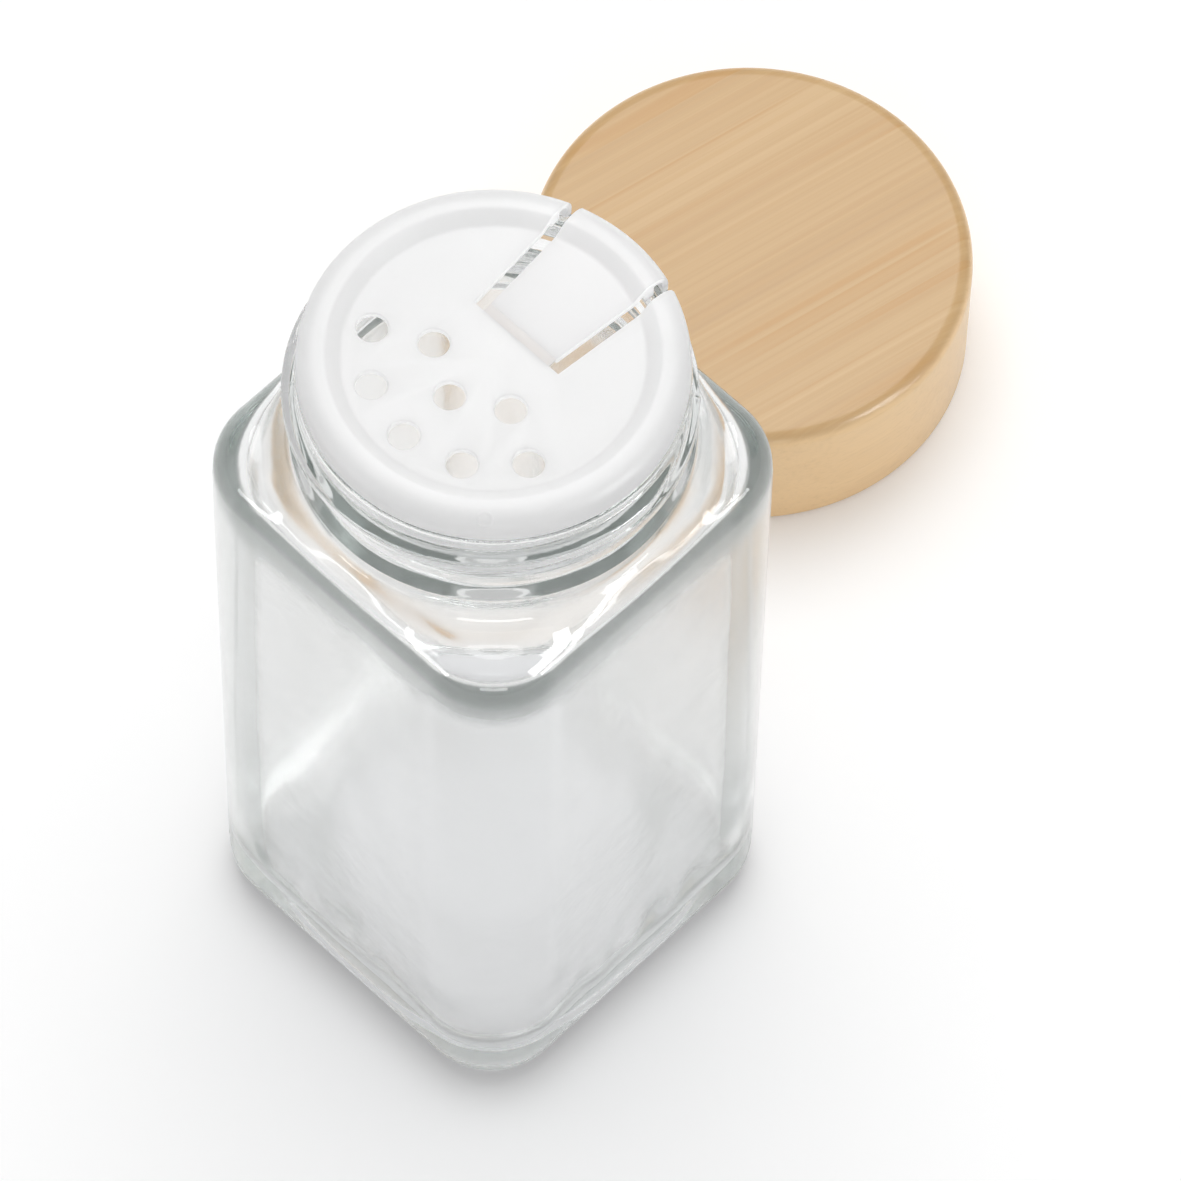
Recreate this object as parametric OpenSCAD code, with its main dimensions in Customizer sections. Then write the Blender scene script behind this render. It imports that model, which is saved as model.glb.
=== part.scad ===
// Square glass spice jar with a shaker insert, its pour flap and a bamboo screw lid.
// The jar stands on its base with its sides along X and Y. The flap points along +X.
// The lid is taken off and stands mouth down on the same surface, behind one side.

/* [Glass jar] */
// Width of the square body over two flat sides
jar_side = 44.5; // [42:0.1:48]
// Radius of the four upright corners
corner_r = 8.3; // [7:0.1:9]
// Height of the shoulder above the base
shoulder_h = 87.4; // [70:0.1:100]
// Radius between the sides and the shoulder
shoulder_r = 4.5; // [3.6:0.1:5.5]
// Radius between the sides and the base
heel_r = 3.8; // [2.4:0.1:4.4]
// Thickness of the side walls
jar_wall = 2.2; // [1.8:0.1:2.8]
// Thickness of the glass under the contents
base_t = 4; // [3:0.1:6]
// Thickness of the glass at the shoulder
shoulder_t = 3; // [2.2:0.1:4]
// Radius inside the body where its walls meet the base and the shoulder
inside_r = 3.4; // [2:0.1:4]

/* [Neck] */
// Outside diameter of the plain neck wall
neck_d = 39.2; // [38.6:0.1:39.8]
// Height of the lip above the shoulder
neck_h = 14.7; // [13:0.1:20]
// Thickness of the neck's wall
neck_wall_t = 1.9; // [1.6:0.1:2.4]
// Radius of the hollow fillet at the root of the neck
root_r = 1; // [0.6:0.1:1.4]
// Radius on the edges of the lip
lip_r = 0.6; // [0.3:0.1:0.7]

/* [Shaker insert] */
// Setback of the insert's outer wall from the neck's outer wall
insert_set = 0.1; // [0:0.05:0.5]
// Height of the insert's rim above the lip
rim_h = 3.2; // [2.8:0.1:4]
// Radius on the outer edge of the rim
rim_r = 2; // [1:0.1:2.2]
// Width of the raised rim, from the outer wall to the start of its inner slope
rim_w = 2.9; // [2.4:0.1:3.2]
// Width of the slope between the rim and the sunken disc
slope_w = 1.5; // [0.8:0.1:2]
// Depth of the disc below the rim
disc_drop = 1.1; // [0.6:0.1:1.4]
// Thickness of the disc
disc_t = 1.2; // [0.8:0.1:1.3]
// Thickness of the flange that rests on the lip
flange_t = 0.8; // [0.5:0.1:0.8]
// Length of the plug that goes down inside the neck
plug_l = 7; // [5:0.1:10]
// Thickness of the plug's wall
plug_wall = 1.1; // [0.8:0.1:1.5]
// Clearance between the plug and the mouth, on the radius
plug_gap = 0.05; // [0.02:0.01:0.1]
// Height of the lead-in taper at the foot of the plug
plug_taper = 1; // [0.5:0.1:2]

/* [Shaker holes] */
// Diameter of each hole
hole_d = 3.2; // [2:0.1:4]
// Distance of the outer row of holes from the edge of the disc
hole_margin = 2.7; // [2.2:0.1:3.4]
// Number of holes in the outer row
outer_row_n = 5; // [3:1:5]
// Distance between the two rows of holes
row_gap = 6.3; // [5.4:0.1:6.6]
// Number of holes in the inner row
inner_row_n = 3; // [2:1:3]
// Angle that each row spans
row_span = 122; // [100:1:130]

/* [Pour flap] */
// Distance of the hinge line from the centre
hinge_x = 4.2; // [3.8:0.1:5]
// Width of the flap at its hinge
flap_w = 9.1; // [8:0.1:10]
// Angle by which each side of the flap flares outward
flap_flare = 5; // [2:0.5:7]
// Width of the slit beside the flap
slit_w = 1.35; // [1:0.05:1.6]
// Length of the thin hinge web
web_l = 1.05; // [0.8:0.05:1.4]
// Thickness of the thin hinge web
web_t = 0.35; // [0.25:0.05:0.5]
// Gap between the closed flap and the flange below it
flap_gap = 0.1; // [0.05:0.05:0.3]

/* [Bamboo lid] */
// Thickness of the bamboo around the liner
lid_wall = 1.9; // [1.5:0.1:3.5]
// Height of the lid
lid_h = 16.9; // [15:0.1:20]
// Thickness of the bamboo over the liner
lid_top_t = 3; // [2.5:0.1:5]
// Radius on the lid's upper edge
lid_edge_r = 1.8; // [1:0.1:2.5]
// Radius on the lid's lower edge
lid_foot_r = 0.6; // [0.3:0.1:0.8]
// Gap between the lid and the jar's side, along X
lid_gap = 19.65; // [10:0.05:40]
// Distance of the lid's axis from the jar's axis along Y
lid_y = 25.8; // [0:0.1:40]

/* [Lid liner and seal] */
// Room for the screw thread between the neck and the liner, on the radius
thread_room = 1.8; // [1.6:0.1:2]
// Thickness of the liner's wall
liner_wall = 1.1; // [0.8:0.1:1.4]
// Thickness of the liner's top
liner_top_t = 1; // [0.8:0.1:1.5]
// Setback of the liner from the lid's lower edge
liner_set = 0.2; // [0.1:0.1:0.5]
// Thickness of the sealing disc
seal_t = 1; // [0.6:0.1:1.5]
// Clearance between the sealing disc and the liner, on the radius
seal_gap = 0.2; // [0.1:0.05:0.4]

/* [Hidden] */
$fn = 96;

lip_z = shoulder_h + neck_h;
neck_r = neck_d / 2;
mouth_r = neck_r - neck_wall_t;
inner_side = jar_side - 2 * jar_wall;
inner_corner_r = corner_r - jar_wall;
inner_top = shoulder_h - shoulder_t;

insert_r = neck_r - insert_set;
plug_r = mouth_r - plug_gap;
disc_top = rim_h - disc_drop;
disc_floor = disc_top - disc_t;
rim_inner_r = insert_r - rim_w;
disc_r = rim_inner_r - slope_w;
outer_row_r = disc_r - hole_margin;
inner_row_r = outer_row_r - row_gap;

flap_floor = flange_t + flap_gap;
slit_end_x = hinge_x - web_l;
past_rim = insert_r + 2;
over_rim = rim_h + 1;

bore_r = neck_r + thread_room;
liner_r = bore_r + liner_wall;
lid_r = liner_r + lid_wall;
lid_x = jar_side / 2 + lid_gap + lid_r;
liner_top = lid_h - lid_top_t;
seal_top = liner_top - liner_top_t;
seal_r = bore_r - seal_gap;
cut = 0.5;

// Square of the given width and height whose lower and upper corners are round
module round_ended(width, height, low_r, high_r) {
    half = width / 2;
    translate([low_r - half, 0]) square([width - 2 * low_r, height / 2]);
    translate([-half, low_r]) square([width, height - low_r - high_r]);
    translate([high_r - half, height / 2]) square([width - 2 * high_r, height / 2]);
    for (s = [-1, 1]) {
        translate([s * (half - low_r), low_r]) circle(low_r);
        translate([s * (half - high_r), height - high_r]) circle(high_r);
    }
}

// Square block with round upright corners, a round heel and a round shoulder
module jar_block(side, height, upright_r, low_r, high_r) {
    flat = side - 2 * upright_r;
    for (turn = [0, 90])
        rotate([0, 0, turn])
            rotate([90, 0, 0])
                linear_extrude(height = flat, center = true)
                    round_ended(side, height, low_r, high_r);
    for (x = [-1, 1], y = [-1, 1])
        translate([x * flat / 2, y * flat / 2, 0])
            rotate_extrude()
                intersection() {
                    round_ended(2 * upright_r, height, low_r, high_r);
                    square([upright_r, height]);
                }
}

// Neck wall with its round lip and its root, solid to its axis
module neck_wall() {
    root_z = shoulder_h - shoulder_r / 2;
    rotate_extrude() {
        translate([0, root_z]) square([neck_r, lip_z - lip_r - root_z]);
        translate([0, root_z]) square([neck_r - lip_r, lip_z - root_z]);
        translate([neck_r - lip_r, lip_z - lip_r]) circle(lip_r);
        difference() {
            translate([0, root_z]) square([neck_r + root_r, shoulder_h + root_r - root_z]);
            translate([neck_r + root_r, shoulder_h + root_r]) circle(root_r);
        }
    }
}

// Mouth of the neck, flared at the lip by its inner radius
module mouth_cut() {
    rotate_extrude() {
        translate([0, inner_top - cut]) square([mouth_r, lip_z - inner_top + 2 * cut]);
        difference() {
            translate([0, lip_z - lip_r]) square([mouth_r + lip_r, lip_r + cut]);
            translate([mouth_r + lip_r, lip_z - lip_r]) circle(lip_r);
        }
    }
}

module glass_jar() {
    color([0.86, 0.90, 0.88, 0.45])
        difference() {
            union() {
                jar_block(jar_side, shoulder_h, corner_r, heel_r, shoulder_r);
                neck_wall();
            }
            translate([0, 0, base_t])
                jar_block(inner_side, inner_top - base_t, inner_corner_r, inside_r, inside_r);
            mouth_cut();
        }
}

// Half section of the insert: disc, slope, rim, outer wall, flange and plug
module insert_section() {
    plug_in = plug_r - plug_wall;
    difference() {
        polygon([
            [0, disc_floor],
            [plug_in, disc_floor],
            [plug_in, -plug_l],
            [plug_r - plug_wall / 2, -plug_l],
            [plug_r, plug_taper - plug_l],
            [plug_r, 0],
            [insert_r, 0],
            [insert_r, rim_h],
            [rim_inner_r, rim_h],
            [disc_r, disc_top],
            [0, disc_top]
        ]);
        rim_corner();
    }
}

// What the round outer edge of the rim leaves out of a square one
module rim_corner() {
    translate([insert_r - rim_r, rim_h - rim_r])
        difference() {
            square(rim_r + cut);
            circle(rim_r);
        }
}

// Plan of the flap, grown by a margin on its sides and moved inward at its hinge
module flap_plan(start_x, margin) {
    flare = tan(flap_flare);
    near_y = flap_w / 2 + margin + (start_x - hinge_x) * flare;
    far_y = flap_w / 2 + margin + (past_rim - hinge_x) * flare;
    polygon([
        [start_x, -near_y],
        [past_rim, -far_y],
        [past_rim, far_y],
        [start_x, near_y]
    ]);
}

// One row of shaker holes, centred on the side away from the flap
module hole_row(row_r, count) {
    for (i = [0:count - 1])
        rotate([0, 0, 180 + row_span * (i / (count - 1) - 0.5)])
            translate([row_r, 0, disc_floor - cut])
                cylinder(h = disc_t + 2 * cut, d = hole_d);
}

module shaker_insert() {
    color([0.93, 0.94, 0.94])
        translate([0, 0, lip_z])
            difference() {
                rotate_extrude() insert_section();
                difference() {
                    translate([0, 0, flange_t])
                        linear_extrude(height = over_rim)
                            flap_plan(slit_end_x, slit_w);
                    translate([slit_end_x - cut, -flap_w / 2, disc_top - web_t])
                        cube([web_l + cut, flap_w, web_t + cut]);
                }
                hole_row(outer_row_r, outer_row_n);
                hole_row(inner_row_r, inner_row_n);
            }
}

module pour_flap() {
    color([0.95, 0.95, 0.96])
        translate([0, 0, lip_z])
            intersection() {
                rotate_extrude() insert_section();
                translate([0, 0, flap_floor])
                    linear_extrude(height = over_rim)
                        flap_plan(hinge_x, 0);
            }
}

module bamboo_cap() {
    color([0.83, 0.70, 0.54])
        translate([lid_x, lid_y, 0])
            difference() {
                rotate_extrude()
                    intersection() {
                        round_ended(2 * lid_r, lid_h, lid_foot_r, lid_edge_r);
                        square([lid_r, lid_h]);
                    }
                translate([0, 0, -cut]) cylinder(h = liner_top + cut, r = liner_r);
            }
}

module cap_liner() {
    color([0.92, 0.92, 0.90])
        translate([lid_x, lid_y, 0])
            difference() {
                translate([0, 0, liner_set]) cylinder(h = liner_top - liner_set, r = liner_r);
                translate([0, 0, -cut]) cylinder(h = seal_top + cut, r = bore_r);
            }
}

module cap_seal() {
    color([0.97, 0.97, 0.95])
        translate([lid_x, lid_y, seal_top - seal_t]) cylinder(h = seal_t, r = seal_r);
}

glass_jar();
shaker_insert();
pour_flap();
bamboo_cap();
cap_liner();
cap_seal();
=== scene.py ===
import math
import bmesh
import bpy
from mathutils import Matrix, Vector, noise


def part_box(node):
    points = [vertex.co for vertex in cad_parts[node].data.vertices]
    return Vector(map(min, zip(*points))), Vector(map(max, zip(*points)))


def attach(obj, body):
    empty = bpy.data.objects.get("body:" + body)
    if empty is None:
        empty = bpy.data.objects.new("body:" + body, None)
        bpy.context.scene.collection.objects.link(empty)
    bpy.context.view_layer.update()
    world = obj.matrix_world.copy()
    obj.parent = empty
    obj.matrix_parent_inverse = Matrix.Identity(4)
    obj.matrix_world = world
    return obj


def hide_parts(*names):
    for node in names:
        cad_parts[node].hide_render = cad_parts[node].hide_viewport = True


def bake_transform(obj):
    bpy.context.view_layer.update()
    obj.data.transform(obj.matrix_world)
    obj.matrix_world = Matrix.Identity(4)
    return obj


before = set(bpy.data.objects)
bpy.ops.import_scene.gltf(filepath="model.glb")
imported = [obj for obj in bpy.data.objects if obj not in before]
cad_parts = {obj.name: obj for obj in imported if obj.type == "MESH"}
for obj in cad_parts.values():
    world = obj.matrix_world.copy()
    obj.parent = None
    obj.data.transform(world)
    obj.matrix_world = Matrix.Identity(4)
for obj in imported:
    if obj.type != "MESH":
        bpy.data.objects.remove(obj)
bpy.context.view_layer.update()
mm = 0.001


# the photograph's camera
cameraFit = {
    "tilt": 60.906,  # degrees below the horizon
    "turn": 46.632,  # degrees from the camera's right to the jar's X axis
    "roll": 1.4066,
    "lens": 286.28,  # on a 36 mm sensor, square picture
    "right": 10.0752,  # from the jar's foot to the camera, along its own axes, in mm
    "up": 28.0425,
    "back": 1012.476,
}


def placeCamera(fit):
    tilt, turn, roll = (math.radians(fit[key]) for key in ("tilt", "turn", "roll"))

    def toFrame(u, v, z):
        return Vector((u * math.cos(turn) + v * math.sin(turn),
                       v * math.cos(turn) - u * math.sin(turn), z))

    right = toFrame(1, 0, 0)
    up = toFrame(0, math.sin(tilt), math.cos(tilt))
    ahead = toFrame(0, math.cos(tilt), -math.sin(tilt))
    place = (right * fit["right"] + up * fit["up"] - ahead * fit["back"]) * mm
    rolledRight = right * math.cos(roll) + up * math.sin(roll)
    rolledUp = up * math.cos(roll) - right * math.sin(roll)
    data = bpy.data.cameras.new("photoCamera")
    data.lens = fit["lens"]
    data.sensor_width = 36
    data.clip_start, data.clip_end = 0.05, 50
    camera = bpy.data.objects.new("photoCamera", data)
    camera.matrix_world = Matrix((
        (rolledRight.x, rolledUp.x, -ahead.x, place.x),
        (rolledRight.y, rolledUp.y, -ahead.y, place.y),
        (rolledRight.z, rolledUp.z, -ahead.z, place.z),
        (0, 0, 0, 1)))
    bpy.context.collection.objects.link(camera)
    bpy.context.scene.camera = camera
    return toFrame


cameraToFrame = placeCamera(cameraFit)
print("camera placed")


# shader writing
class Wire:
    # an output socket that sums can be written on
    def __init__(self, finish, socket):
        self.finish = finish
        self.socket = socket

    def reckon(self, operation, *values):
        return self.finish.node("ShaderNodeMath", {"operation": operation}, dict(enumerate(values)))

    def atLeast(self, other):
        return self.reckon("MAXIMUM", self, other)

    def __add__(self, other):
        return self.reckon("ADD", self, other)

    def __sub__(self, other):
        return self.reckon("SUBTRACT", self, other)

    def __rsub__(self, other):
        return self.reckon("SUBTRACT", other, self)

    def __mul__(self, other):
        return self.reckon("MULTIPLY", self, other)

    def __pow__(self, other):
        return self.reckon("POWER", self, other)

    __radd__ = __add__
    __rmul__ = __mul__


class Finish:
    # a material or the world, and the nodes in it
    def __init__(self, owner):
        self.owner = owner
        owner.use_nodes = True
        self.tree = owner.node_tree
        self.tree.nodes.clear()

    def node(self, kind, settings=None, links=None, out=0):
        made = self.tree.nodes.new(kind)
        for key, value in (settings or {}).items():
            if key == "stops":
                ramp = made.color_ramp
                while len(ramp.elements) < len(value):
                    ramp.elements.new(0.5)
                for element, (place, colour) in zip(ramp.elements, value):
                    element.position = place
                    element.color = (*colour, 1)
            else:
                setattr(made, key, value)
        for key, value in (links or {}).items():
            if isinstance(value, Wire):
                self.tree.links.new(value.socket, made.inputs[key])
            else:
                made.inputs[key].default_value = value
        return Wire(self, made.outputs[out])

    def finishWith(self, surface, volume=None):
        world = isinstance(self.owner, bpy.types.World)
        end = self.tree.nodes.new("ShaderNodeOutputWorld" if world else "ShaderNodeOutputMaterial")
        self.tree.links.new(surface.socket, end.inputs["Surface"])
        if volume:
            self.tree.links.new(volume.socket, end.inputs["Volume"])
        return self.owner

    def noise(self, place, scale, detail=3.0, roughness=0.5):
        return self.node("ShaderNodeTexNoise", None, {
            "Vector": place, "Scale": scale, "Detail": detail, "Roughness": roughness})

    def between(self, value, low, high):
        return self.node("ShaderNodeMapRange", {"interpolation_type": "SMOOTHSTEP"}, {
            "Value": value, "From Min": low, "From Max": high})

    def mixColour(self, share, first, second, way="MIX"):
        settings = {"data_type": "RGBA", "blend_type": way}
        return self.node("ShaderNodeMix", settings, {0: share, 6: first, 7: second}, 2)

    def vector(self, operation, first, second=(0, 0, 0), out="Vector"):
        return self.node("ShaderNodeVectorMath", {"operation": operation}, {0: first, 1: second}, out)

    def upward(self, vector):
        return self.node("ShaderNodeSeparateXYZ", None, {0: vector}, "Z")

    def place(self, kind="Object"):
        return self.node("ShaderNodeTexCoord", None, None, kind)

    def fromAxis(self, place):
        return self.vector("LENGTH", self.vector("MULTIPLY", place, (1, 1, 0)), out="Value")

    def rays(self, *kinds):
        # 1 for rays of any of these kinds
        found = [self.node("ShaderNodeLightPath", None, None, "Is " + kind + " Ray") for kind in kinds]
        share = found[0]
        for other in found[1:]:
            share = share.atLeast(other)
        return share

    def bump(self, height, distance, strength=1.0):
        return self.node("ShaderNodeBump", None, {
            "Height": height, "Distance": distance, "Strength": strength})


def newFinish(name):
    return Finish(bpy.data.materials.new(name))


# mesh making, in millimetres
def roundSquare(angle, half, corner):
    # distance from the axis to a square with round corners
    reach = half - corner
    a = max(abs(math.cos(angle)), abs(math.sin(angle)))
    b = min(abs(math.cos(angle)), abs(math.sin(angle)))
    if half / a * b <= reach:
        return half / a
    s = reach * (a + b)
    return s + math.sqrt(max(s * s - 2 * reach * reach + corner * corner, 0))


def roundedOutline(points, steps=5):
    # (r, z, radius) corners of a section, each rounded off by its own radius
    found = []
    for i, (r, z, radius) in enumerate(points):
        here = Vector((r, z))
        if radius <= 0 or i in (0, len(points) - 1):
            found.append((r, z))
            continue
        back = (Vector(points[i - 1][:2]) - here).normalized()
        on = (Vector(points[i + 1][:2]) - here).normalized()
        half = back.angle(on) / 2
        length = radius / math.tan(half)
        middle = here + (back + on).normalized() * radius / math.sin(half)
        start, end = here + back * length - middle, here + on * length - middle
        turn = start.angle_signed(end)
        for k in range(steps + 1):
            a = -turn * k / steps
            found.append((middle.x + start.x * math.cos(a) - start.y * math.sin(a),
                          middle.y + start.x * math.sin(a) + start.y * math.cos(a)))
    return found


def meshObject(name, bm):
    bmesh.ops.recalc_face_normals(bm, faces=bm.faces)
    for v in bm.verts:
        v.co *= mm
    data = bpy.data.meshes.new(name)
    bm.to_mesh(data)
    bm.free()
    for face in data.polygons:
        face.use_smooth = True
    piece = bpy.data.objects.new(name, data)
    bpy.context.collection.objects.link(piece)
    return piece


def joinRings(bm, rings, closed=False):
    # rings of equal length, capped to a point at both ends unless closed into a loop
    made = [[bm.verts.new(p) for p in ring] for ring in rings]
    count = len(made[0])
    pairs = list(zip(made, made[1:])) + ([(made[-1], made[0])] if closed else [])
    for low, high in pairs:
        for i in range(count):
            k = (i + 1) % count
            bm.faces.new((low[i], low[k], high[k], high[i]))
    if not closed:
        for ring in (made[0], made[-1]):
            tip = bm.verts.new(sum((v.co for v in ring), Vector()) / count)
            for i in range(count):
                bm.faces.new((ring[i], ring[(i + 1) % count], tip))
    return made


def lathe(name, section, sides, centre=(0, 0, 0), closed=False):
    bm = bmesh.new()
    rings = []
    for r, z in section:
        ring = []
        for i in range(sides):
            a = 2 * math.pi * i / sides
            ring.append((centre[0] + r * math.cos(a), centre[1] + r * math.sin(a), centre[2] + z))
        rings.append(ring)
    joinRings(bm, rings, closed)
    return meshObject(name, bm)


def eased(share):
    share = min(1, max(0, share))
    return share * share * (3 - 2 * share)


def threadRise(angle, z, thread):
    # how far a thread stands out at a place, from 0 to 1
    turn = (angle - math.radians(thread["start"])) % (2 * math.pi)
    rise = 0.0
    for lap in range(3):
        along = turn + 2 * math.pi * lap
        if along > 2 * math.pi * thread["turns"]:
            break
        off = z - thread["low"] - thread["pitch"] * along / (2 * math.pi)
        foot, crest = thread["under"]
        edge, top = thread["over"]
        shape = eased((off - foot) / (crest - foot)) * eased((top - off) / (top - edge))
        ends = min(along / thread["fadeIn"], (2 * math.pi * thread["turns"] - along) / 0.5)
        rise = max(rise, shape * min(1, max(0, ends)))
    return rise


def putOnto(piece, material, body, slot, *nodes):
    piece.data.materials.clear()
    piece.data.materials.append(material)
    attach(piece, body)
    if nodes:
        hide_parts(*nodes)


# glass jar
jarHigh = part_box("glass_jar")[1] / mm
jarGlass = {
    "half": jarHigh.x,
    "corner": 8.3,
    "heel": 3.8,
    "wall": 2.2,
    "innerCorner": 8.2,
    "sideTop": 82.9,  # where the round shoulder edge starts
    "shoulderRound": 4.5,
    "neckRing": 20.3,  # plain ring under the thread
    "ringTop": 91.6,
    "ringSlope": 2.6,  # height over which the ring runs into the neck
    "cove": 3.5,  # from the shoulder up to the ring
    "neck": 19.6,
    "bore": 17.7,
    "boreCove": 3.3,
    "lip": jarHigh.z,
    "lipRound": 0.6,
    "floor": 2.3,
    "floorHeel": 7.5,
    "floorCrown": 0.9,
    "recess": 18.0,  # radius of the round recess under the base
    "recessDepth": 0.9,
    "recessEdge": 1.2,
    "panelSink": 0.12,
    "waver": 0.2,  # unevenness of the inside
    "heelWaver": 0.9,  # and of the bend at its bottom
    "thickening": 0.4,  # how much thicker the wall is a little below the shoulder
    "cornerThickening": 0.4,  # and how much more in the corners
    "thickest": 77.4,
    "seam": 0.07,
    "seamAngles": (135.0, -45.0),
}
neckThread = {
    "low": 94.6,
    "pitch": 4.2,
    "turns": 1.3,
    "start": 192.0,
    "height": 1.35,
    "under": (-1.9, -0.6),  # where the lower flank starts and ends, from the middle of the crest
    "over": (0.35, 1.25),  # and the upper flank
    "fadeIn": 3.4,  # angle over which it rises from nothing, in radians
}


def jarAngles():
    # closer together round the corners and at the mould seams
    found = []
    for quarter in range(4):
        first = 90 * quarter - 32
        found += [first + 2 * i for i in range(32)]
        found += [first + 64 + 26 * i / 28 for i in range(28)]
    for seam in jarGlass["seamAngles"]:
        found += [seam + step for step in (-0.8, -0.45, -0.2, 0, 0.2, 0.45, 0.8)]
    found = sorted(round(angle % 360, 3) for angle in found)
    kept = [found[0]]
    for angle in found[1:]:
        if angle - kept[-1] > 0.1:
            kept.append(angle)
    return [math.radians(angle) for angle in kept]


def shoulderColumn(angle, half, corner, low, edge, neck, cove, steps=13):
    # (r, z) from the top of the side over the round edge and up the cove to the neck
    def reach(inset):
        return roundSquare(angle, half - inset, max(0.2, corner - inset))

    def height(inset, r):
        over = low + math.sqrt(edge ** 2 - (edge - min(inset, edge)) ** 2)
        into = min(cove, max(0, neck + cove - r))
        return over + (cove - math.sqrt(cove ** 2 - into ** 2)) * eased(inset / (0.55 * edge))

    near, far = 0, half
    for i in range(40):
        middle = (near + far) / 2
        near, far = (middle, far) if reach(middle) > neck else (near, middle)
    change = min(edge, 0.6 * near)
    turn = math.acos(1 - change / edge)
    insets = [edge * (1 - math.cos(turn * i / steps)) for i in range(steps + 1)]
    insets += [change + (near - change) * math.sin(math.pi / 2 * i / steps) for i in range(1, steps + 1)]
    return [(reach(inset), height(inset, reach(inset))) for inset in insets]


def buildJar(jar, thread):
    angles = jarAngles()
    half, heel, inner = jar["half"], jar["heel"], jar["half"] - jar["wall"]
    cornerReach = roundSquare(math.pi / 4, half, jar["corner"])

    def cornerness(angle):
        return (roundSquare(angle, half, jar["corner"]) - half) / (cornerReach - half)

    def seamRise(angle):
        rise = 0
        for seam in jar["seamAngles"]:
            off = math.degrees((angle - math.radians(seam) + math.pi) % (2 * math.pi) - math.pi)
            rise += math.exp(-(off / 0.3) ** 2)
        return rise * jar["seam"]

    def ring(radius, z):
        return [(radius(a) * math.cos(a), radius(a) * math.sin(a), z) for a in angles]

    def squareRing(size, corner, z, extra=lambda angle, z: 0):
        return ring(lambda a: roundSquare(a, size, corner) + extra(a, z), z)

    def outerUneven(angle, z):
        tall = math.sin(math.pi * min(1, max(0, (z - 4) / 76)))
        return seamRise(angle) - jar["panelSink"] * (1 - cornerness(angle)) ** 2 * tall

    def innerUneven(angle, z):
        x, y = math.cos(angle), math.sin(angle)
        slow = noise.noise(Vector((x * 1.6 + 3.1, y * 1.6 - 1.7, z / 26)))
        quick = noise.noise(Vector((x * 4.5 - 7.3, y * 4.5 + 2.9, z / 11)))
        ends = min(1, (z - jar["floor"]) / 14, (jar["sideTop"] - z) / 8)
        thicker = jar["thickening"] + jar["cornerThickening"] * cornerness(angle)
        above = min(1, (jar["sideTop"] - z) / (jar["sideTop"] - jar["thickest"]))
        below = 1 - eased((jar["thickest"] - z) / 45)
        bend = (z - jar["floor"]) / jar["floorHeel"]
        wave = noise.noise(Vector((x * 5.3 + 5.2, y * 5.3 + 0.8, z / 9)))
        heel = jar["heelWaver"] * wave * eased(bend * 2.5) * (1 - eased((bend - 0.5) / 1.5))
        return jar["waver"] * (slow + 0.2 * quick) * max(0, ends) + heel - thicker * above * below

    def shoulderRings(*sizes):
        columns = [shoulderColumn(angle, *sizes) for angle in angles]
        return [[(r * math.cos(a), r * math.sin(a), z) for (r, z), a in zip(points, angles)]
                for points in zip(*columns)]

    def neckRadius(angle, z):
        step = eased((z - jar["ringTop"]) / jar["ringSlope"])
        flash = 0.07 * math.exp(-((z - jar["ringTop"]) / 0.12) ** 2)
        return (jar["neckRing"] + (jar["neck"] - jar["neckRing"]) * step + flash + seamRise(angle)
                + thread["height"] * threadRise(angle, z, thread))

    rings = []
    for r in (1.5, 5, 9, 13, 15.5, 16.6, 16.8, 17, 17.2, 17.4, 17.6, 17.8, 18, 18.2):  # recess
        deep = jar["recessDepth"] * eased((jar["recess"] - r) / jar["recessEdge"])
        rings.append(ring(lambda a: r, deep))
    for i in range(0, 10):
        a = math.radians(10 * i)
        rings.append(squareRing(half - heel + heel * math.sin(a), jar["corner"] - heel + heel * math.sin(a),
                                heel * (1 - math.cos(a)), outerUneven))
    z = heel
    while z < jar["sideTop"] - 4:
        z += 3
        rings.append(squareRing(half, jar["corner"], z, outerUneven))
    rings += shoulderRings(half, jar["corner"], jar["sideTop"], jar["shoulderRound"],
                           jar["neckRing"], jar["cove"])
    z = jar["ringTop"] - 0.4
    stop = jar["lip"] - jar["lipRound"]
    while z < stop - 0.1:
        rings.append(ring(lambda a: neckRadius(a, z), z))
        z += 0.13
    for side in (1, -1):  # over the lip
        for i in range(0, 7):
            a = math.radians(90 * (side < 0) + side * 15 * i)
            wide = jar["lipRound"] * (1 - math.cos(a))
            r = jar["neck"] - wide if side > 0 else jar["bore"] + wide
            rings.append(ring(lambda angle: r, stop + jar["lipRound"] * math.sin(a)))
    boreLow = jar["sideTop"] + jar["shoulderRound"] - jar["wall"] + jar["boreCove"] + 0.3
    for i in range(1, 7):
        rings.append(ring(lambda a: jar["bore"], stop - i * (stop - boreLow) / 6))
    inside = shoulderRings(inner, jar["innerCorner"], jar["sideTop"], jar["shoulderRound"] - jar["wall"],
                           jar["bore"], jar["boreCove"])
    rings += inside[::-1]
    z = jar["sideTop"] - 1.2
    while z > jar["floor"] + jar["floorHeel"] + 0.6:
        rings.append(squareRing(inner, jar["innerCorner"], z, innerUneven))
        z -= 1.8
    bend = jar["floorHeel"]
    for i in range(0, 16):
        a = math.radians(90 - 6 * i)
        inset = bend * (1 - math.sin(a))
        rings.append(squareRing(inner - inset, max(0.3, jar["innerCorner"] - inset),
                                jar["floor"] + bend * (1 - math.cos(a)), innerUneven))
    for i in range(10, 0, -1):
        share = i / 11
        rings.append(squareRing((inner - bend) * share, max(0.3, jar["innerCorner"] - bend) * share,
                                jar["floor"] + jar["floorCrown"] * (1 - share ** 2) ** 2))
    bm = bmesh.new()
    joinRings(bm, rings)
    return meshObject("glassJar", bm)


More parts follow.
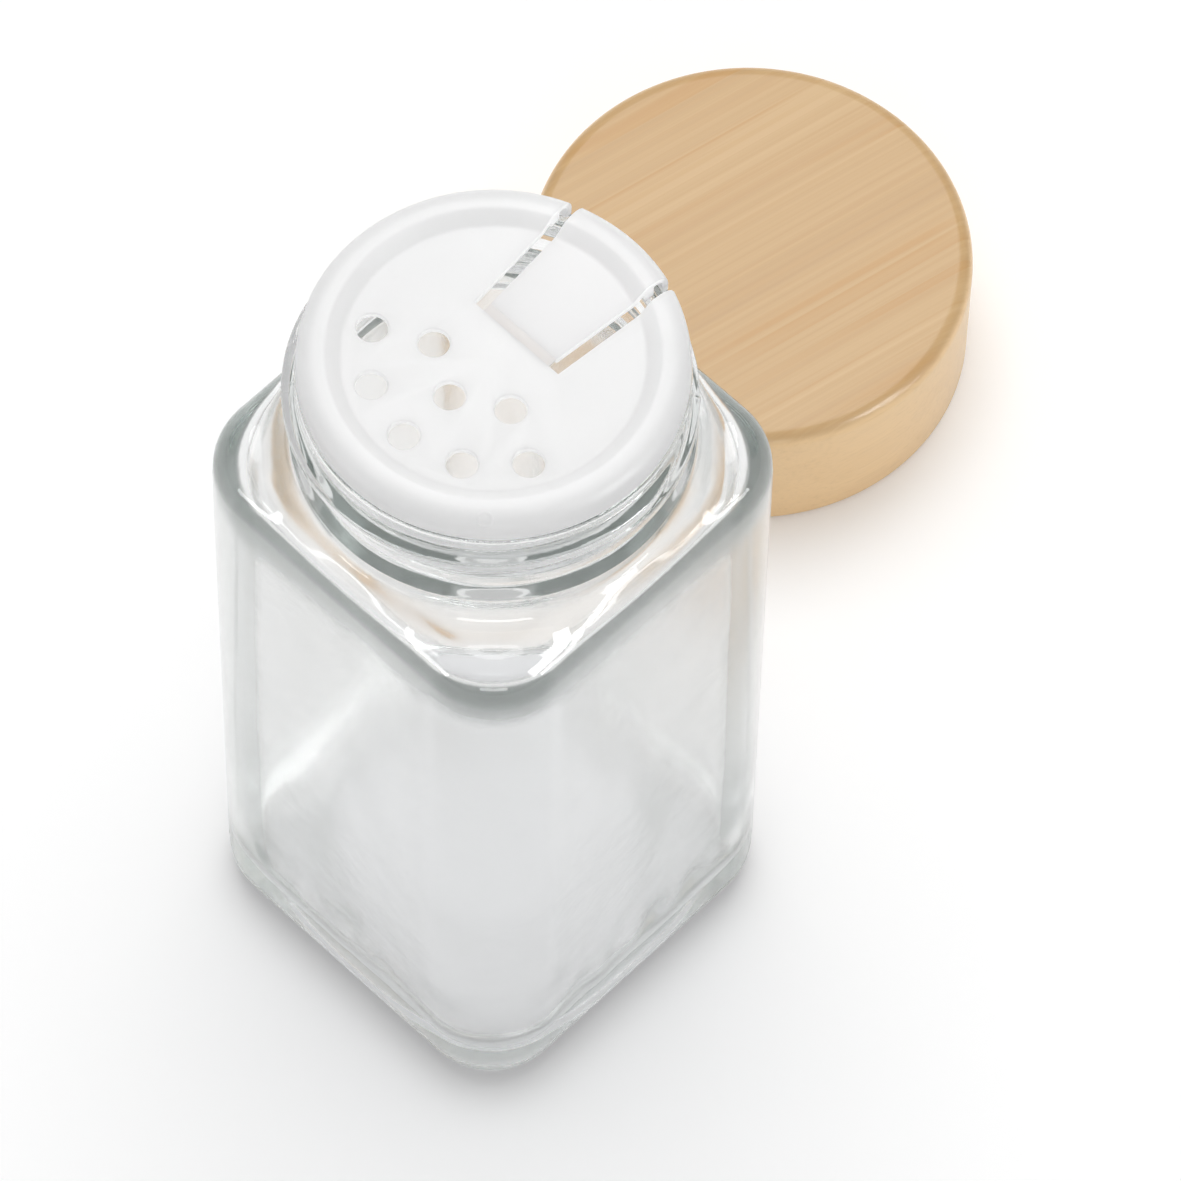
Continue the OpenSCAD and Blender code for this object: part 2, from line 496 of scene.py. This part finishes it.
glassLook = {
    "tint": (0.785, 0.807, 0.797),
    "tintDensity": 50.0,
    "shadow": (0.95, 0.95, 0.955),  # what each side of the glass lets through to the floor
    "lowShadow": (0.2, 0.2, 0.205),  # and what it lets through close to the floor
    "lowShadowHeights": (1, 9),
    "outsideDepth": 1.8,  # how far in from the side counts as its outer surface
    "undersideRoughness": 0.16,
    "heelRoughness": 0.3,
    "insideRoughness": 0.26,  # at the bottom of the inside
    "wallLess": 0.06,  # how much less rough it is on the walls
    "shoulderLess": 0.15,  # and how much less again in the shoulder and the neck
    "orangePeel": 0.035,
}


def glassFinish(jar, look):
    glass = newFinish("clearGlass")
    place = glass.place()
    height = glass.upward(place)

    def climb(value, low, high):
        return glass.between(value, low * mm, high * mm)

    # distance from the square that the side's round corners are drawn around
    reach = (jar["half"] - jar["corner"]) * mm
    folded = glass.vector("ABSOLUTE", glass.vector("MULTIPLY", place, (1, 1, 0)))
    beyond = glass.vector("MAXIMUM", glass.vector("SUBTRACT", folded, (reach, reach, 0)))
    spread = glass.vector("LENGTH", beyond, out="Value")
    within = jar["corner"] - look["outsideDepth"]
    outside = climb(spread, within - 0.2, within + 0.2)
    # distance from the middle of the curve that the glass follows from the shoulder to the neck
    bend = (jar["cove"] + jar["boreCove"]) / 2
    bendRadius = (jar["neckRing"] + jar["bore"]) / 2 + bend
    bendHeight = jar["sideTop"] + jar["shoulderRound"] - jar["wall"] / 2 + bend
    sideways = (bendRadius * mm - glass.fromAxis(place)).atLeast(0)
    below = (bendHeight * mm - height).atLeast(0)
    inward = climb((sideways * sideways + below * below) ** 0.5, bend - 0.25, bend + 0.25)
    inside = (1 - outside) * climb(height, 1.6, 2.6) * inward
    hazy = (look["insideRoughness"] - look["wallLess"] * climb(height, 6, 12)
            - look["shoulderLess"] * climb(height, 83, 85.5))
    underside = 1 - climb(height, 0.7, 1.6)
    heel = outside * (1 - climb(height, 3, 6))
    roughness = underside * look["undersideRoughness"] + inside * hazy + heel * look["heelRoughness"]
    orangePeel = glass.noise(place, 110, 6, 0.62)
    solid = glass.node("ShaderNodeBsdfPrincipled", None, {
        "Base Color": (1, 1, 1, 1), "Roughness": roughness, "IOR": 1.5, "Transmission Weight": 1.0,
        "Normal": glass.bump(orangePeel, look["orangePeel"] * mm)})
    clear = glass.node("ShaderNodeBsdfTransparent", None, {"Color": (*look["shadow"], 1)})
    dim = glass.node("ShaderNodeBsdfTransparent", None, {"Color": (*look["lowShadow"], 1)})
    lowWall = outside * (1 - climb(height, *look["lowShadowHeights"]))
    through = glass.node("ShaderNodeMixShader", None, {0: lowWall, 1: clear, 2: dim})
    surface = glass.node("ShaderNodeMixShader", None, {
        0: glass.rays("Shadow", "Diffuse"), 1: solid, 2: through})
    volume = glass.node("ShaderNodeVolumeAbsorption", None, {
        "Color": (*look["tint"], 1), "Density": look["tintDensity"]})
    return glass.finishWith(surface, volume)


glassJar = buildJar(jarGlass, neckThread)
putOnto(glassJar, glassFinish(jarGlass, glassLook), "jar", "glass", "glass_jar")
print("glass jar built")


# shaker insert and pour flap
insert = {
    "outer": 19.5,
    "rimHigh": 3.2,
    "rimInner": 16.6,
    "disc": 15.1,
    "discTop": 2.1,
    "discThickness": 0.75,
    "skirt": 0.7,
    "plug": 17.65,
    "plugWall": 1.1,
    "plugLength": 7.0,
    "holeRadius": 1.6,
    "holeRound": 0.18,
    "rows": ((12.4, 5), (6.1, 3)),
    "rowSpan": 122,
    "hingeX": 4.2,
    "webLength": 1.05,
    "flapWidth": 9.1,
    "flare": 5.0,
    "slit": 1.35,
    "slitDepth": 3.0,  # how far the slits reach down
    "plugGapTop": 1.3,
    "plugGapMargin": 4.5,
    "flangeThickness": 0.8,
    "flapGap": 0.1,
    "edge": 0.12,
}


def insertSection(size):
    floor = size["discTop"] - size["discThickness"]
    ceiling = size["rimHigh"] - size["discThickness"]
    plugIn = size["plug"] - size["plugWall"]
    groove = size["outer"] - size["skirt"]
    return roundedOutline([
        (0.5, floor, 0), (size["disc"] + 0.2, floor, 0.8), (plugIn, ceiling - 0.25, 0.2),
        (plugIn, -size["plugLength"], 0.2), (size["plug"] - 0.55, -size["plugLength"], 0.2),
        (size["plug"], 1 - size["plugLength"], 0.4), (size["plug"], ceiling, 0.12), (groove, ceiling, 0.85),
        (groove, 0, 0.1), (size["outer"], 0, 0.2), (size["outer"], size["rimHigh"], 1.95),
        (size["rimInner"], size["rimHigh"], 0.7), (size["disc"], size["discTop"], 0.8),
        (0.5, size["discTop"], 0)])


def prism(name, outline, low, high):
    bm = bmesh.new()
    joinRings(bm, [[(x, y, low) for x, y in outline], [(x, y, high) for x, y in outline]])
    return meshObject(name, bm)


def flapOutline(size, startX, margin):
    flare = math.tan(math.radians(size["flare"]))
    far = size["outer"] + 2
    near = size["flapWidth"] / 2 + margin + (startX - size["hingeX"]) * flare
    wide = size["flapWidth"] / 2 + margin + (far - size["hingeX"]) * flare
    return [(startX, -near), (far, -wide), (far, wide), (startX, near)]


def carve(piece, cutter, way):
    tool = piece.modifiers.new("carve", "BOOLEAN")
    tool.operation = way
    tool.solver = "EXACT"
    tool.object = cutter
    applyModifiers(piece)
    bpy.data.objects.remove(cutter)


def applyModifiers(piece):
    bpy.context.view_layer.update()
    made = bpy.data.meshes.new_from_object(piece.evaluated_get(bpy.context.evaluated_depsgraph_get()))
    piece.modifiers.clear()
    piece.data = made


def softenEdges(piece, width):
    bm = bmesh.new()
    bm.from_mesh(piece.data)
    bmesh.ops.remove_doubles(bm, verts=bm.verts, dist=0.004 * mm)
    bmesh.ops.dissolve_limit(bm, angle_limit=math.radians(0.4), verts=bm.verts, edges=bm.edges)
    bm.to_mesh(piece.data)
    bm.free()
    tool = piece.modifiers.new("soften", "BEVEL")
    tool.width = width * mm
    tool.segments = 2
    tool.limit_method = "ANGLE"
    tool.angle_limit = math.radians(50)
    tool.use_clamp_overlap = True
    applyModifiers(piece)
    for face in piece.data.polygons:
        face.use_smooth = True


def buildShaker(size, lip):
    section = [(r, z + lip) for r, z in insertSection(size)]
    shaker = lathe("shakerInsert", section, 144)
    floor = lip + size["discTop"] - size["discThickness"]
    top = lip + size["discTop"]
    tools = bmesh.new()
    for row, count in size["rows"]:
        for i in range(count):
            a = math.radians(180 + size["rowSpan"] * (i / (count - 1) - 0.5))
            x, y = row * math.cos(a), row * math.sin(a)
            r, e = size["holeRadius"], size["holeRound"]
            section = [(r + e + 0.3, floor - 0.3), (r + e, floor), (r + 0.3 * e, floor + 0.3 * e),
                       (r, floor + e), (r, top - e), (r + 0.3 * e, top - 0.3 * e), (r + e, top),
                       (r + e + 0.3, top + 0.3)]
            rings = [[(x + q * math.cos(k * math.pi / 20), y + q * math.sin(k * math.pi / 20), z)
                      for k in range(40)] for q, z in section]
            joinRings(tools, rings)
    carve(shaker, meshObject("holeTools", tools), "DIFFERENCE")
    slot = flapOutline(size, size["hingeX"] - size["webLength"], size["slit"])
    carve(shaker, prism("flapSlot", slot, lip + size["flangeThickness"], lip + 8), "DIFFERENCE")
    inner = flapOutline(size, size["hingeX"], 0)
    outer = flapOutline(size, size["hingeX"], size["slit"])
    for a, b in ((0, 1), (2, 3)):
        strip = [outer[a], outer[b], inner[b], inner[a]]
        carve(shaker, prism("slit", strip, lip - size["slitDepth"], lip + 8), "DIFFERENCE")
    gap = lathe("plugGap", [(size["plug"] + wide, lip + z) for wide, z in (
        (-1.5, -8), (0.15, -8), (0.15, size["plugGapTop"]), (-1.5, size["plugGapTop"]))], 144, closed=True)
    sector = flapOutline(size, 9, size["plugGapMargin"])
    carve(gap, prism("gapSector", sector, lip - 9, lip + 3), "INTERSECT")
    carve(shaker, gap, "DIFFERENCE")
    softenEdges(shaker, size["edge"])
    return shaker


def buildFlap(size, lip):
    section = [(r, z + lip) for r, z in insertSection(size)]
    flap = lathe("pourFlap", section, 144)
    outline = flapOutline(size, size["hingeX"], 0)
    low = lip + size["flangeThickness"] + size["flapGap"]
    carve(flap, prism("flapShape", outline, low, lip + 8), "INTERSECT")
    softenEdges(flap, size["edge"])
    return flap


def buildHinge(size, lip):
    # thin web that joins the flap to the disc, built in place
    top = lip + size["discTop"]
    start, end = size["hingeX"] - size["webLength"], size["hingeX"]
    under = [(start - 0.25, -0.3), (start, -0.33), (start + 0.35, -0.28), (start + 0.7, -0.28),
             (end, -0.33), (end + 0.25, -0.3)]
    over = [(end + 0.25, -0.02), (end, -0.04), (start + 0.7, -0.1), (start + 0.35, -0.1),
            (start, -0.04), (start - 0.25, -0.02)]
    section = [(x, top + z) for x, z in under + over]
    half = size["flapWidth"] / 2 - 0.05
    bm = bmesh.new()
    joinRings(bm, [[(x, y, z) for x, z in section] for y in (-half, -half + 0.05, 0, half - 0.05, half)])
    return meshObject("hingeWeb", bm)


plasticLook = {
    "fineGrain": 2600,
    "broadGrain": 90,
    "roughness": (0.3, 0.16),  # least, and how much the broad grain adds
    "spread": 2.6,  # how far light travels inside it
    "gateRing": ((0.45, 0.65), (0.75, 0.95)),  # radii over which the gate mark's ring rises and falls
    "gateHeight": 0.12,
    # strength of the painted glow, white emission on the upright cut edges
    "paintedEdgeGlow": 0.22,
    "edgesWithin": (18.6, 19),  # radii over which the painted glow of the cut edges ends
}


def plasticFinish(name, colour, clearShare, grain, milky=0.0, gate=None, paintedGlowAbove=None):
    # milky is how much light spreads inside it, gate the place of a small ring left by moulding
    # the last argument is the height above which upright cut edges get a painted glow, emission that stands
    # in for light the sheet would carry to them
    look = plasticLook
    plastic = newFinish(name)
    place = plastic.place()
    fine = plastic.noise(place, look["fineGrain"], 3, 0.6)
    broad = plastic.noise(place, look["broadGrain"], 2, 0.5)
    height = fine * grain
    if gate:
        apart = plastic.vector("DISTANCE", place, gate, "Value")
        beyond, within = [plastic.between(apart, low * mm, high * mm) for low, high in look["gateRing"]]
        height = height + beyond * (1 - within) * look["gateHeight"]
    edges = (0, 0, 0, 1)
    if paintedGlowAbove:
        upright = plastic.upward(plastic.place("Normal"))
        level = plastic.between(upright.reckon("ABSOLUTE", upright), 0.25, 0.7)
        above = plastic.between(plastic.upward(place), paintedGlowAbove, paintedGlowAbove + 0.15 * mm)
        rim = plastic.between(plastic.fromAxis(place), *[radius * mm for radius in look["edgesWithin"]])
        # painted glow: white emission on upright cut faces above that height and inside the rim
        edges = plastic.mixColour((1 - level) * above * (1 - rim), (0, 0, 0, 1), (1, 1, 1, 1))
    darker = (*[c * 0.985 for c in colour], 1)
    lighter = (*[min(1, c * 1.01) for c in colour], 1)
    surface = plastic.node("ShaderNodeBsdfPrincipled", None, {
        "Base Color": plastic.mixColour(broad, darker, lighter),
        "Roughness": look["roughness"][0] + look["roughness"][1] * broad,
        "IOR": 1.49, "Specular IOR Level": 0.45, "Transmission Weight": clearShare,
        "Subsurface Weight": milky, "Subsurface Radius": (1, 1, 1), "Subsurface Scale": look["spread"] * mm,
        "Emission Color": edges, "Emission Strength": look["paintedEdgeGlow"] if paintedGlowAbove else 0.0,
        "Normal": plastic.bump(height, mm, 0.5)})
    return plastic.finishWith(surface)


lipHeight = jarGlass["lip"]
gateMark = cameraToFrame(-0.35 * mm, -18.6 * mm, (lipHeight + 2.7) * mm)
# height above which the cut edges of the shaker and flap get their painted glow
paintedGlowHeight = (lipHeight + 1.2) * mm
shakerFinish = plasticFinish("frostedShaker", (0.975, 0.975, 0.975), 0.12, 0.02, 0.8, gateMark, paintedGlowHeight)
flapFinish = plasticFinish("frostedFlap", (0.95, 0.94, 0.945), 0.12, 0.02, 0.8, None, paintedGlowHeight)
webFinish = plasticFinish("hingeWeb", (0.93, 0.9, 0.88), 0.4, 0.01, 0.4)
shaker = buildShaker(insert, lipHeight)
putOnto(shaker, shakerFinish, "shaker", "shaker_plastic", "shaker_insert")
flap = buildFlap(insert, lipHeight)
putOnto(flap, flapFinish, "flap", "flap_plastic", "pour_flap")
hinge = buildHinge(insert, lipHeight)
hinge.data.materials.append(webFinish)
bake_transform(hinge)
print("shaker insert and flap built")


# bamboo lid, liner and seal
lidLow, lidHigh = (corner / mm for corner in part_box("bamboo_cap"))
linerLow, linerHigh = (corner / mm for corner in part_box("cap_liner"))
sealLow, sealHigh = (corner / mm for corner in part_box("cap_seal"))
lid = {
    "centre": ((lidLow.x + lidHigh.x) / 2, (lidLow.y + lidHigh.y) / 2),
    "radius": (lidHigh.x - lidLow.x) / 2,
    "height": lidHigh.z,
    "edge": 1.8,
    "foot": 0.6,
    "bore": (linerHigh.x - linerLow.x) / 2,
    "boreTop": linerHigh.z,
    "grainAngle": -11.8,
}
liner = {
    "radius": (linerHigh.x - linerLow.x) / 2 - 0.01,
    "low": linerLow.z,
    "top": linerHigh.z - 0.01,
    "bore": 21.4,
    "topThickness": 1.0,
}
linerThread = {"low": 3.2, "pitch": 4.2, "turns": 1.6, "start": 40.0, "height": 0.75,
               "under": (-1.1, -0.3), "over": (0.3, 1.1), "fadeIn": 0.5}


def buildLid(size):
    section = roundedOutline([
        (0.5, size["height"], 0), (size["radius"], size["height"], size["edge"]),
        (size["radius"], 0, size["foot"]), (size["bore"], 0, 0.25),
        (size["bore"], size["boreTop"], 0), (0.5, size["boreTop"], 0)], 8)
    return lathe("bambooLid", section, 180, (*size["centre"], 0))


def buildLiner(size, thread, centre):
    boreTop = size["top"] - size["topThickness"]
    outer = roundedOutline([(0.5, size["top"], 0), (size["radius"], size["top"], 0.3),
                            (size["radius"], size["low"], 0.2), (size["bore"], size["low"], 0.2),
                            (size["bore"], size["low"] + 0.6, 0)])
    heights = [size["low"] + 0.6 + 0.25 * i for i in range(1, int((boreTop - size["low"] - 0.8) / 0.25))]
    rings = []
    sides = 160
    for r, z in outer + [(size["bore"], h) for h in heights] + [(size["bore"], boreTop), (0.5, boreTop)]:
        ring = []
        for i in range(sides):
            a = 2 * math.pi * i / sides
            inward = thread["height"] * threadRise(a, z, thread) if abs(r - size["bore"]) < 0.01 else 0
            ring.append((centre[0] + (r - inward) * math.cos(a), centre[1] + (r - inward) * math.sin(a), z))
        rings.append(ring)
    bm = bmesh.new()
    joinRings(bm, rings)
    return meshObject("lidLiner", bm)


def buildSeal(low, high, centre, radius):
    section = roundedOutline([
        (0.5, low, 0), (radius - 6, low, 0), (radius - 5.6, low + 0.12, 0), (radius - 1.4, low + 0.12, 0),
        (radius - 1.0, low, 0), (radius, low, 0.25), (radius, high, 0.25), (0.5, high, 0)])
    return lathe("lidSeal", section, 120, (*centre, 0))


bamboo = {
    "tones": ((0.3, (0.53, 0.325, 0.142)), (0.5, (0.60, 0.388, 0.178)), (0.72, (0.665, 0.455, 0.228))),
    # the side colour is painted light: the upright side is made lighter than the top to make up for the
    # dimmer light that reaches it
    "side": (0.98, 0.68, 0.36),
    "strongLines": (0.56, 0.30, 0.095),
    "faintLines": (0.56, 0.33, 0.135),
    "hairs": (0.58, 0.38, 0.19),
}


def bambooFinish(size, look):
    wood = newFinish("bamboo")
    centre = (size["centre"][0] * mm, size["centre"][1] * mm, 0)
    along = wood.node("ShaderNodeMapping", {"vector_type": "TEXTURE"}, {
        "Vector": wood.place(), "Location": centre,
        "Rotation": (0, 0, math.radians(size["grainAngle"]))})

    def stretched(lengthways, across, upwards):
        return wood.vector("MULTIPLY", along, (lengthways, across, upwards))

    def grainLines(value, width):
        # sharp on one side of each line and soft on the other
        return wood.between(value, 0.5 - 0.12 * width, 0.5) * (1 - wood.between(value, 0.5, 0.5 + width))

    broad = wood.noise(stretched(1.5, 130, 60), 1, 1, 0.5)
    fibres = wood.noise(stretched(5, 900, 420), 1, 3, 0.6)
    hairs = wood.noise(stretched(22, 4200, 2400), 1, 3, 0.6)
    lasting = wood.between(wood.noise(stretched(30, 210, 90), 1, 1, 0.4), 0.42, 0.62)
    strong = grainLines(wood.noise(stretched(2.5, 330, 90), 1, 1, 0.4), 0.11) * lasting
    faint = grainLines(wood.noise(stretched(5, 900, 300), 1, 1, 0.4), 0.1)
    flank = 1 - wood.between(wood.upward(wood.place("Normal")), 0.35, 0.8)
    tone = wood.node("ShaderNodeValToRGB", {"stops": look["tones"]}, {"Fac": broad * 0.45 + fibres * 0.55})
    # painted light: upright faces are pushed toward the lighter side colour; their plainer grain below is the
    # side's own look
    paintedLitSides = wood.mixColour(flank * 0.85, tone, (*look["side"], 1))
    plain = 1 - flank * 0.9
    lined = wood.mixColour(strong * plain * 0.6, paintedLitSides, (*look["strongLines"], 1))
    fine = wood.mixColour(faint * plain * 0.32, lined, (*look["faintLines"], 1))
    speckled = wood.mixColour(wood.between(hairs, 0.45, 0.8) * 0.2, fine, (*look["hairs"], 1))
    surface = wood.node("ShaderNodeBsdfPrincipled", None, {
        "Base Color": speckled, "Roughness": 0.42 + 0.14 * fibres, "Specular IOR Level": 0.4,
        "Coat Weight": 0.5, "Coat Roughness": 0.18,
        "Normal": wood.bump(fibres * 0.6 + hairs * 0.4, 0.05 * mm, 0.8)})
    return wood.finishWith(surface)


lidPiece = buildLid(lid)
putOnto(lidPiece, bambooFinish(lid, bamboo), "lid", "bamboo", "bamboo_cap")
linerPiece = buildLiner(liner, linerThread, lid["centre"])
linerFinish = plasticFinish("linerPlastic", (0.86, 0.86, 0.84), 0.1, 0.015, 0.4)
putOnto(linerPiece, linerFinish, "lid", "liner_plastic", "cap_liner")
sealPiece = buildSeal(sealLow.z, sealHigh.z - 0.01, lid["centre"], (sealHigh.x - sealLow.x) / 2)
sealFinish = plasticFinish("sealFoam", (0.9, 0.9, 0.88), 0.0, 0.03)
putOnto(sealPiece, sealFinish, "lid", "seal_foam", "cap_seal")
print("lid built")


# floor, lamps and world
studio = {
    "floorWhite": 0.95,
    "floorGlow": 0.09,  # added for the eye alone, so that the bare floor is white and shadows stay
    "throughGlass": 0.4,  # share of that glow in what glass shows
    "worldLight": 0.53,
    "horizonShade": 0.85,
    "glassWorld": 0.62,  # how bright the surroundings look in glass
}


def buildFloor(level):
    bm = bmesh.new()
    rings = [[(r * math.cos(a * math.pi / 24), r * math.sin(a * math.pi / 24), level) for a in range(48)]
             for r in (4000, 1)]
    made = [[bm.verts.new(p) for p in ring] for ring in rings]
    for i in range(48):
        k = (i + 1) % 48
        bm.faces.new((made[0][i], made[0][k], made[1][k], made[1][i]))
    bm.faces.new(made[1])
    floor = meshObject("studioFloor", bm)
    paper = newFinish("whitePaper")
    shown = (paper.rays("Glossy", "Transmission") * studio["throughGlass"]).atLeast(paper.rays("Camera"))
    matt = paper.node("ShaderNodeBsdfDiffuse", None, {"Color": (*[studio["floorWhite"]] * 3, 1)})
    glow = paper.node("ShaderNodeEmission", None, {
        "Color": (1, 1, 1, 1), "Strength": shown * studio["floorGlow"]})
    floor.data.materials.append(paper.finishWith(paper.node("ShaderNodeAddShader", None, {0: matt, 1: glow})))


def softLamp(name, bearing, height, distance, size, power, sheenOnly=False, throughGlass=True):
    # bearing is in degrees from the camera's right, counterclockwise seen from above
    a, e = math.radians(bearing), math.radians(height)
    away = cameraToFrame(math.cos(a) * math.cos(e), math.sin(a) * math.cos(e), math.sin(e))
    data = bpy.data.lights.new(name, "AREA")
    data.shape = "RECTANGLE"
    data.size, data.size_y = size
    data.energy = power
    lamp = bpy.data.objects.new(name, data)
    lamp.location = Vector((0.03, 0.01, 0.06)) + away * distance
    lamp.rotation_mode = "QUATERNION"
    lamp.rotation_quaternion = away.to_track_quat("Z", "Y")
    lamp.visible_diffuse = not sheenOnly
    lamp.visible_transmission = throughGlass
    bpy.context.collection.objects.link(lamp)


def buildWorld():
    sky = Finish(bpy.data.worlds.new("studio"))
    bpy.context.scene.world = sky.owner
    height = sky.upward(sky.place("Generated"))
    shade = sky.between(height, 0.05, 0.55) * (1 - studio["horizonShade"]) + studio["horizonShade"]
    inGlass = sky.rays("Glossy", "Transmission") * studio["glassWorld"]
    light = inGlass.atLeast(sky.rays("Camera")).atLeast(shade * studio["worldLight"])
    sky.finishWith(sky.node("ShaderNodeBackground", None, {"Color": (1, 1, 1, 1), "Strength": light}))


buildFloor(-0.05)
buildWorld()
softLamp("overhead", 90, 68, 1.4, (1.1, 1.1), 11.6, throughGlass=False)
softLamp("frontCard", -88, 15, 1.5, (0.8, 0.2), 3, throughGlass=False)
softLamp("rightSoftbox", -31, 27, 1.3, (0.42, 0.45), 7, sheenOnly=True)
softLamp("rightCard", -22, 10, 1.4, (0.5, 0.2), 2.5, sheenOnly=True)
softLamp("leftCard", 207, 11, 1.4, (0.5, 0.2), 2.5, sheenOnly=True)
bpy.context.scene.view_settings.view_transform = "Standard"
bounces = {"max": 120, "transmission": 120, "glossy": 120, "diffuse": 4, "transparent_max": 40}
for limit, count in bounces.items():
    setattr(bpy.context.scene.cycles, limit + "_bounces", count)
print("studio built")
